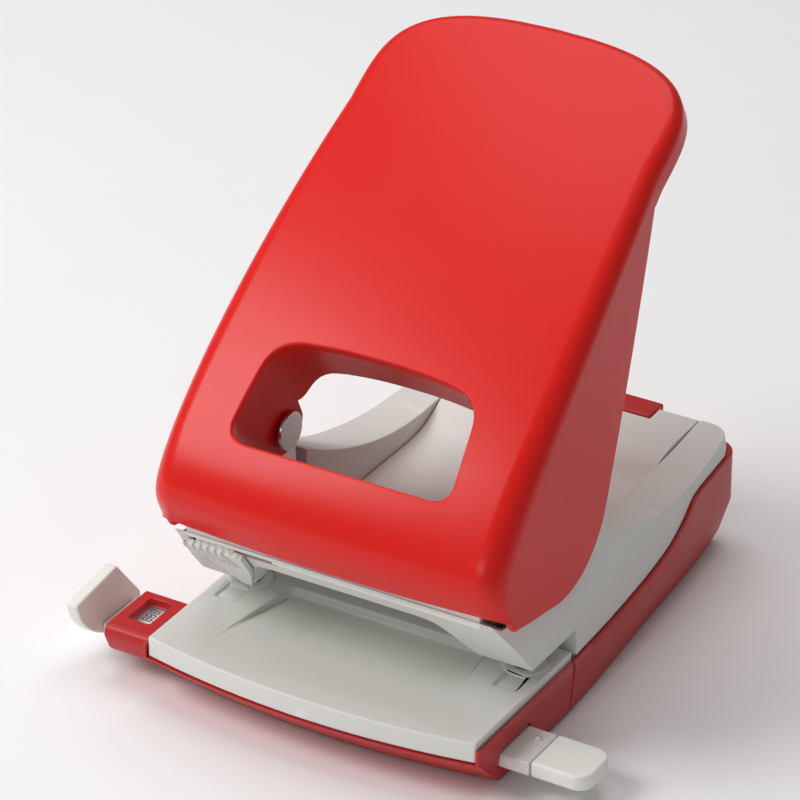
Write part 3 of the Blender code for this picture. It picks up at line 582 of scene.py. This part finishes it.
def make_tray_latch():
    top_z, under_z = DECK_TOP_Z + 0.0003, DECK_TOP_Z - 0.0016
    leaf = [(0.1068, LATCH_LOW_Z), (0.1082, LATCH_LOW_Z), (0.1082, top_z, 0.0012), (0.0998, top_z, 0.0008),
            (0.0998, under_z), (0.1068, under_z, 0.0008)]
    latch = prism("X", rounded(leaf, 0.0004), -LATCH_HALF_WIDTH, LATCH_HALF_WIDTH)
    soften(latch, 0.0004)
    return settle(latch, "latch_tab", "tray_latch", "red_plastic", ["tray_latch"])


# ---- handle --------------------------------------------------------------------------------------
HANDLE_TIP = Vector((0.0830, 0.1494))
TIP_SLOPE = math.radians(32)
HANDLE_WALL = 0.002
PANEL_BOW = 0.0012
HANDLE_LENGTH = 0.1700         # along the tip's slope
CORNER_LENGTH = 0.030          # how far down from the top the rounded corners reach
TOP_BOW = 0.0044               # how far the top edge's middle stands over its ends
LOW_HALF_WIDTH = 0.0498
TOP_HALF_WIDTH = 0.0440
REAR_RADIUS = 0.0246           # the side panels' lower rear corner is round about the pivot
SKIRT_DEPTH = 0.0096           # of the turned-down edge round the top
SKIRT_LENGTH = 0.0400          # along the front path, from the skirt's start to the tip
EDGE_RADIUS = 0.0034           # of the panel's edge at the tip
EDGE_RADIUS_GAIN = 0.0036      # what the radius gains on the way down to the lower edge
LARGEST_ROUNDING = 0.55        # as a share of the depth of the wall behind the edge
ROUNDING_STEPS = 8             # round the panel's edge
WALL_STEPS = 4                 # from there to the wall's rear edge
PANEL_COLUMNS = 12             # across the panel


def bezier(control, start, end, steps):
    points = []
    for i in range(steps + 1):
        t = start + (end - start) * i / steps
        weights = ((1 - t) ** 3, 3 * (1 - t) ** 2 * t, 3 * (1 - t) * t * t, t ** 3)
        points.append(sum((Vector(c) * w for c, w in zip(control, weights)), Vector((0.0, 0.0))))
    return points


def lengths(path):
    total = [0.0]
    for a, b in zip(path, path[1:]):
        total.append(total[-1] + (b - a).length)
    return total


def along(path, marks, distance):
    """(point, unit tangent) at a distance along a path."""
    i = 0
    while i < len(marks) - 2 and marks[i + 1] < distance:
        i += 1
    step = path[i + 1] - path[i]
    share = (distance - marks[i]) / (marks[i + 1] - marks[i])
    return path[i] + step * share, step.normalized()


def inward(tangent):
    """The side-view direction into the handle, square to the front path."""
    return Vector((tangent.y, -tangent.x))


def front_path():
    """Side view of the front panel, from its lower edge to the tip."""
    foot = [(-0.0300, 0.0473), (-0.0322, 0.0516), (-0.0349, 0.0561), (-0.03344, 0.06070)]
    panel = [(-0.0327, 0.0540), (-0.0447, 0.0682), (0.0305, 0.1218), tuple(HANDLE_TIP)]
    return bezier(foot, 0.0, 1.0, 16) + bezier(panel, 0.12, 1.0, 120)[1:]


def rear_path():
    """Side view of the side panels' rear edge, from the bottom to the start of the top skirt."""
    corner = arc(PIVOT, REAR_RADIUS, -106, -23.3, 24)
    return [Vector(point) for point in [(-0.0229, 0.0426), (-0.0140, 0.0408)] + corner + [(0.0540, 0.1220)]]


def rise(point):
    """Height of a side-view point along the tip's slope, measured from the tip: negative under it."""
    return (point.x - HANDLE_TIP.x) * math.cos(TIP_SLOPE) + (point.y - HANDLE_TIP.y) * math.sin(TIP_SLOPE)


def side_half_width(height):
    """Half width of the handle at a height that rise() gives: the sides lean in towards the top."""
    share = max(0.0, min(1.0, (height + HANDLE_LENGTH) / (HANDLE_LENGTH - CORNER_LENGTH - TOP_BOW)))
    return LOW_HALF_WIDTH - (LOW_HALF_WIDTH - TOP_HALF_WIDTH) * share ** 2.2


def handle_contour(path, marks):
    """Outline of the front panel as [(x, distance along the path)], from bottom right to top centre."""
    points = []
    side_steps, corner_steps = 90, 30
    side_end = marks[-1] - CORNER_LENGTH - TOP_BOW
    for i in range(side_steps):
        distance = side_end * i / side_steps
        points.append((side_half_width(rise(along(path, marks, distance)[0])), distance))
    for i in range(corner_steps + 1):
        turn = math.radians(90 * i / corner_steps)
        x = TOP_HALF_WIDTH * math.sqrt(max(0.0, math.cos(turn))) if i < corner_steps else 0.0
        below = CORNER_LENGTH * (1 - math.sqrt(math.sin(turn))) + TOP_BOW * (x / TOP_HALF_WIDTH) ** 2
        points.append((x, marks[-1] - below))
    return points


def edge_direction(contour, i):
    """The direction out of the panel's outline at one of its points."""
    if i == 0:
        return Vector((1.0, 0.0))
    if i == len(contour) - 1:
        return Vector((0.0, 1.0))
    before, after = contour[i - 1], contour[i + 1]
    step = Vector((after[0] - before[0], after[1] - before[1])).normalized()
    return Vector((step.y, -step.x))


def wall_column(contour, i, path, marks, rear, rear_marks):
    """Points (x, y, z) from the front panel round the edge to the rear of the wall."""
    x, distance = contour[i]
    out = edge_direction(contour, i)
    point, tangent = along(path, marks, distance)
    skirt_start = marks[-1] - SKIRT_LENGTH
    end = point + inward(tangent) * SKIRT_DEPTH
    if distance < skirt_start:
        end = along(rear, rear_marks, rear_marks[-1] * distance / skirt_start)[0]
    radius = EDGE_RADIUS + EDGE_RADIUS_GAIN * (1 - distance / marks[-1])
    radius = min(radius, LARGEST_ROUNDING * (end - point).length)
    backwards = (end - point).normalized()
    points = []
    for k in range(ROUNDING_STEPS + 1):
        turn = math.radians(90 * k / ROUNDING_STEPS)
        inset = radius * (1 - math.sin(turn))
        px = x - out.x * inset
        base, base_tangent = along(path, marks, max(0.0, distance - out.y * inset))
        bow = inward(base_tangent) * PANEL_BOW * (px / TOP_HALF_WIDTH) ** 2
        points.append((px, base + bow + backwards * radius * (1 - math.cos(turn))))
    start = points[-1][1]
    for k in range(1, WALL_STEPS + 1):
        here = start.lerp(end, k / WALL_STEPS)
        width = side_half_width(rise(here)) if distance < skirt_start else x
        points.append((width, here))
    return [Vector((px, point.x, point.y)) for px, point in points]


def panel_row(shape, left_edge, right_edge, tangent):
    """Vertices across the front panel, which is bowed between its two edges."""
    edge = right_edge.co
    outward = -inward(tangent)
    row = [left_edge]
    for k in range(1, PANEL_COLUMNS):
        x = edge.x * (2 * k / PANEL_COLUMNS - 1)
        lift = PANEL_BOW * (edge.x ** 2 - x ** 2) / TOP_HALF_WIDTH ** 2
        row.append(shape.verts.new((x, edge.y + outward.x * lift, edge.z + outward.y * lift)))
    return row + [right_edge]


def handle_sheet():
    """The handle's outer skin: front panel, rounded edge and the walls behind it."""
    path, rear = front_path(), rear_path()
    marks, rear_marks = lengths(path), lengths(rear)
    contour = handle_contour(path, marks)
    shape = bmesh.new()
    right = []
    for i in range(len(contour)):
        column = wall_column(contour, i, path, marks, rear, rear_marks)
        right.append([shape.verts.new(point) for point in column])
    left = [[shape.verts.new(Vector((-v.co.x, v.co.y, v.co.z))) for v in points] for points in right[:-1]]
    left.append(right[-1])
    for half in (right, left):
        for first, second in zip(half, half[1:]):
            bridge(shape, first, second, closed=False)
    rows = []
    for i in range(len(contour) - 1):
        tangent = along(path, marks, contour[i][1])[1]
        rows.append(panel_row(shape, left[i][0], right[i][0], tangent))
    for first, second in zip(rows, rows[1:]):
        bridge(shape, first, second, closed=False)
    tip = right[-1][0]
    for a, b in zip(rows[-1], rows[-1][1:]):
        shape.faces.new((a, b, tip))
    return add_object("handle_sheet", shape)


WINDOW_MIDDLE = Vector((-0.0145, 0.0840))
WINDOW_SLOPE = math.radians(44)
LIP_RADIUS = 0.0007
LIP_DEPTH = 0.0030


def window_outline(grow=0.0):
    """The window in the panel's plane: straight below, bowed above and narrower there."""
    half = [(0.0315 + grow, -0.0146 - grow, 0.006), (0.0288 + grow, 0.0128 + grow, 0.008),
            (0.0120, 0.0150 + grow, 0.010)]
    return rounded(mirrored(half), 0.006, 8)


def window_edge():
    """Points of the window's outline, each with its direction away from the window."""
    outline = [Vector(point) for point in window_outline()]
    edge = []
    for i, point in enumerate(outline):
        step = (outline[(i + 1) % len(outline)] - outline[i - 1]).normalized()
        edge.append((point, Vector((step.y, -step.x))))
    return edge


def on_panel(item):
    """Turns a piece drawn in the plane Z = 0 into the window's plane, its +Z pointing out of the panel."""
    turn = Matrix.Rotation(WINDOW_SLOPE, 4, "X")
    return place(item, Matrix.Translation((0.0, WINDOW_MIDDLE.x, WINDOW_MIDDLE.y)) @ turn)


def make_handle():
    shell = handle_sheet()
    outward = sum((face.normal * face.area for face in shell.data.polygons), Vector())
    wall = shell.modifiers.new("wall", "SOLIDIFY")
    wall.thickness = HANDLE_WALL
    wall.offset = -1.0 if outward.z > 0 else 1.0
    apply_modifiers(shell)
    soften(shell, 0.0005, 3, 50, reach=0.0)
    hole = [tuple(point + out * LIP_RADIUS) for point, out in window_edge()]
    cut(shell, on_panel(prism("Z", hole, -0.012, 0.012)))
    return settle(shell, "handle_shell", "handle", "red_lacquer", ["handle"])


def make_window_lip():
    """The rolled edge of the window, flush with the panel outside and turned inwards."""
    path = front_path()
    slope = Vector((math.cos(WINDOW_SLOPE), math.sin(WINDOW_SLOPE)))
    heights = [(point - WINDOW_MIDDLE).dot(slope) for point in path]
    profile = []
    for k in range(7):
        turn = math.radians(15 * k)
        profile.append((LIP_RADIUS * (1 - math.sin(turn)), LIP_RADIUS * (1 - math.cos(turn))))
    profile += [(0.0, LIP_DEPTH), (LIP_RADIUS, LIP_DEPTH), (LIP_RADIUS + 0.0001, 0.0001)]
    shape = bmesh.new()
    rings = []
    for point, out in window_edge():
        ring = []
        for away, depth in profile:
            x, height = point + out * away
            on_path, tangent = along(path, heights, height)
            bow = PANEL_BOW * (x / TOP_HALF_WIDTH) ** 2
            ring.append(shape.verts.new((x, *(on_path + inward(tangent) * (depth + bow)))))
        rings.append(ring)
    for i, ring in enumerate(rings):
        bridge(shape, ring, rings[(i + 1) % len(rings)])
    lip = add_object("lip", shape)
    return settle(lip, "window_lip", "handle", "red_lacquer", smooth_angle=60)


def make_window_liner():
    """The turned-in flange over the window, running into the two webs that hold the pivots."""
    liner = on_panel(prism("Z", window_outline(0.0024), -0.0380, -0.0032))
    cut(liner, on_panel(prism("Z", window_outline(0.0003), -0.05, 0.01)))
    lobe = arc(PIVOT, 0.0076, 10, -125, 24)
    side_view = [(-0.0250, 0.0740), (-0.0240, 0.0755), (0.0010, 0.1010), (0.0120, 0.0940, 0.004),
                 (0.0126, 0.0830, 0.006), (0.0122, 0.0745, 0.006), (0.0102, 0.0685, 0.003)]
    keep(liner, prism("X", rounded(side_view, 0.0005) + lobe, -0.05, 0.05))
    soften(liner, 0.0004, 2, 50)
    return settle(liner, "window_liner", "handle", "red_lacquer")


def make_pivot_pin(name, side):
    """A pin with a flat head, which shows beside the window, and a thin shank further out."""
    inner_x, shank_x, outer_x, head_radius, shank_radius = 0.0287, 0.0300, 0.0463, 0.0052, 0.0025
    profile = [(0.0, inner_x), (0.0046, inner_x), (0.0050, 0.0288), (head_radius, 0.0291),
               (head_radius, 0.0296), (0.0026, 0.0297), (shank_radius, shank_x), (shank_radius, 0.0460),
               (0.0022, outer_x), (0.0, outer_x)]
    pin = lathe("X", PIVOT, [(radius, side * x) for radius, x in profile])
    return settle(pin, f"pin_{name}", "handle", "steel", [f"pivot_pin_{name}"])


# ---- lock slider ---------------------------------------------------------------------------------
def make_lock_slider():
    """A thumb plate with diagonal ribs under a toothed edge, on the sloping front face."""
    left, right, length, teeth = -0.0432, -0.0262, 0.0196, 8
    pitch = (right - left) / teeth
    outline = [(left + 0.0100, -length), (left, -0.0020)]
    for i in range(teeth):
        outline += [(left + (i + 0.25) * pitch, 0.0), (left + (i + 0.75) * pitch, -0.0007)]
    outline += [(right, -0.0006), (right - 0.0008, -0.0100), (right - 0.0042, -length)]
    slider = prism("Y", outline, -0.0020, -0.0004)
    for i in range(teeth - 2):
        x = left + (i + 0.25) * pitch
        rib = [(x - 0.0004, -0.0002), (x + 0.0004, -0.0002), (x + 0.0030, -0.0064), (x + 0.0022, -0.0064)]
        join(slider, prism("Y", rib, -0.0026, -0.0015))
    slope, top_z = math.atan2(FRONT_SLOPE, 1.0), 0.0428
    place(slider, Matrix.Translation((0.0, front_face_y(top_z), top_z)) @ Matrix.Rotation(slope, 4, "X"))
    tongue = block((-0.0400, front_face_y(0.0420) - 0.0008, 0.0409), (-0.0290, -0.0170, 0.0430))
    join(slider, tongue)
    soften(slider, 0.0003, 2)
    return settle(slider, "lock_plate", "lock_slider", "grey_plastic", ["lock_slider"])


# ---- paper guide ---------------------------------------------------------------------------------
def make_guide_rail():
    top_z = RAIL_Z[1]
    rail = block((GUIDE_FACE_X + GAP, RAIL_Y[0], RAIL_Z[0]), (0.0560, RAIL_Y[1], top_z))
    bump = [(0.0, top_z - 0.001), (0.0013, top_z - 0.001), (0.0011, top_z + 0.0003),
            (0.0006, top_z + 0.0006), (0.0, top_z + 0.0007)]
    join(rail, lathe("Z", (0.0528, -0.0166), bump, sides=24))
    soften(rail, 0.0004)
    return settle(rail, "rail_bar", "paper_guide", "grey_plastic", ["guide_rail"])


def make_guide_stop():
    """The upright blade that the sheet's edge touches: flat on top, rounded under its front."""
    outline = [(-0.0190, 0.0224, 0.001), (-0.0375, 0.0200, 0.0008), (-0.0362, 0.0152), (-0.0340, 0.0120),
               (-0.0305, 0.0086), (-0.0268, 0.0062), (-0.0230, 0.0046), (-0.0120, 0.0042), (-0.0082, 0.0088)]
    stop = prism("X", rounded(outline, 0.0020), -GUIDE_END_X, GUIDE_FACE_X)
    soften(stop, 0.0006, 4)
    return settle(stop, "stop_blade", "paper_guide", "pale_plastic", ["guide_stop"])


def make_guide_end():
    """The rounded grip at the rail's right end."""
    start_x, radius, corner_turn = 0.0563, 0.0045, 84
    middle_x = GUIDE_END_X - radius
    outline = [(start_x, RAIL_Y[0]), (middle_x, RAIL_Y[0])]
    outline += arc((middle_x, RAIL_Y[0] + radius), radius, -corner_turn, 0, 12)
    outline += arc((middle_x, RAIL_Y[1] - radius), radius, 0, corner_turn, 12)
    outline += [(middle_x, RAIL_Y[1]), (start_x, RAIL_Y[1])]
    end = prism("Z", outline, RAIL_Z[0] - 0.0002, RAIL_Z[1] + 0.0004)
    soften(end, 0.0009, 4)
    return settle(end, "end_grip", "paper_guide", "pale_plastic", ["guide_end"])


SCALE_TOP_Z = 0.0117
SCALE_MIDDLE = Vector((-0.0575, -0.0206))      # of the digits, seen from above
PRINT_Z = (SCALE_TOP_Z - 0.00005, SCALE_TOP_Z + 0.00008)


def make_scale_card():
    """A white strip, raised under the window that it is read through."""
    strip = join(block((-0.0660, -0.0262, 0.0096), (0.0300, -0.0138, 0.0100)),
                 block((-0.0600, -0.0262, 0.0098), (-0.0520, -0.0138, SCALE_TOP_Z)))
    soften(strip, 0.0001, 1)
    settle(strip, "scale_card", "paper_guide", "pale_plastic", ["scale_strip"])


def make_digit(number):
    """One of the three digits 8: seven bars, each from (u, v) to (u, v) in half widths and heights."""
    bars = [((-0.5, 0.0), (0.5, 0.0)), ((-0.5, 1.0), (0.5, 1.0)), ((-0.5, -1.0), (0.5, -1.0)),
            ((-0.5, 0.0), (-0.5, 1.0)), ((0.5, 0.0), (0.5, 1.0)), ((-0.5, -1.0), (-0.5, 0.0)),
            ((0.5, -1.0), (0.5, 0.0))]
    width, height, stroke, pitch = 0.0011, 0.0012, 0.00018, 0.0019
    middle_y = SCALE_MIDDLE.y + (number - 2) * pitch
    figure = None
    for (u0, v0), (u1, v1) in bars:
        y = sorted((middle_y + u0 * width, middle_y + u1 * width))
        x = sorted((SCALE_MIDDLE.x - v0 * height, SCALE_MIDDLE.x - v1 * height))
        bar = block((x[0] - stroke, y[0] - stroke, PRINT_Z[0]), (x[1] + stroke, y[1] + stroke, PRINT_Z[1]))
        figure = bar if figure is None else join(figure, bar)
    settle(figure, f"digit_{number}", "paper_guide", "ink")


def make_scale_dot(number):
    """One of the five dots in a row beside the digits."""
    radius, pitch, offset = 0.0003, 0.0011, 0.0020
    centre = (SCALE_MIDDLE.x + offset, SCALE_MIDDLE.y + (number - 3) * pitch)
    profile = [(0.0, PRINT_Z[0]), (radius, PRINT_Z[0]), (radius, PRINT_Z[1]), (0.0, PRINT_Z[1])]
    dot = lathe("Z", centre, profile, sides=16)
    settle(dot, f"scale_dot_{number}", "paper_guide", "red_ink")


# ---- carried-over CAD nodes ----------------------------------------------------------------------
def dress_cad_nodes():
    """The nodes that keep their CAD shape get the same surfaces as the rest."""
    finishes = {"pivot_bush": "brass", "front_pad": "rubber", "rear_pad": "rubber",
                "scale_lens": "clear_plastic", "return_spring": "spring_steel", "die_plate": "steel",
                "pivot_bracket": "steel", "bracket_screw": "steel", "punch": "steel", "press_cam": "steel"}
    for name, node in frame["nodes"].items():
        for prefix, finish in finishes.items():
            if name.startswith(prefix):
                node.data.materials.clear()
                node.data.materials.append(MATERIALS[finish])


# ---- stage ---------------------------------------------------------------------------------------
def make_floor():
    shape = bmesh.new()
    bmesh.ops.create_grid(shape, x_segments=8, y_segments=8, size=4.0)
    floor = add_object("floor", shape)
    paper = surface("floor_paper", (0.93, 0.93, 0.93), 0.80, grain_depth=0.0, mottle=0.01, wear=0.0)
    floor.data.materials.append(paper)


def add_softbox(name, position, target, size, power):
    light = bpy.data.lights.new(name, "AREA")
    light.shape = "RECTANGLE"
    light.size, light.size_y = size
    light.energy = power
    item = bpy.data.objects.new(name, light)
    item.location = position
    item.rotation_euler = (Vector(target) - Vector(position)).to_track_quat("-Z", "Y").to_euler()
    bpy.context.scene.collection.objects.link(item)


def set_lights():
    world = bpy.data.worlds.new("studio")
    world.use_nodes = True
    background = world.node_tree.nodes["Background"]
    background.inputs["Color"].default_value = (1.0, 1.0, 1.0, 1.0)
    background.inputs["Strength"].default_value = 0.20
    bpy.context.scene.world = world
    add_softbox("key", (-0.70, -0.60, 0.90), (0.0, 0.0, 0.07), (0.60, 0.60), 9.0)
    add_softbox("top", (-0.20, 0.40, 1.30), (0.0, 0.0, 0.05), (1.20, 0.90), 8.0)
    add_softbox("front", (0.10, -1.30, 0.55), (0.0, 0.0, 0.06), (0.60, 0.30), 2.0)
    bpy.context.scene.view_settings.view_transform = "Standard"


def add_camera():
    """The viewing angle of a product shot from the front right, with a long lens."""
    camera = bpy.data.objects.new("camera", bpy.data.cameras.new("camera"))
    camera.data.lens = 202.5
    camera.data.sensor_width = 36.0
    camera.data.clip_end = 20.0
    camera.location = Vector((0.4923, -0.8214, 0.6211)) + SHIFT
    camera.rotation_euler = (math.radians(60.59), 0.0, math.radians(30.74))
    bpy.context.scene.collection.objects.link(camera)
    bpy.context.scene.camera = camera


# ---- assembly ------------------------------------------------------------------------------------
make_front_base()
make_paper_tray()
make_housing()
make_rear_cover()
make_chad_tray()
make_tray_latch()
make_handle()
make_window_lip()
make_window_liner()
for side_name, side_sign in SIDES.items():
    make_pivot_pin(side_name, side_sign)
make_lock_slider()
make_guide_rail()
make_guide_stop()
make_guide_end()
make_scale_card()
for digit_number in (1, 2, 3):
    make_digit(digit_number)
for dot_number in (1, 2, 3, 4, 5):
    make_scale_dot(dot_number)
dress_cad_nodes()
make_floor()
set_lights()
add_camera()
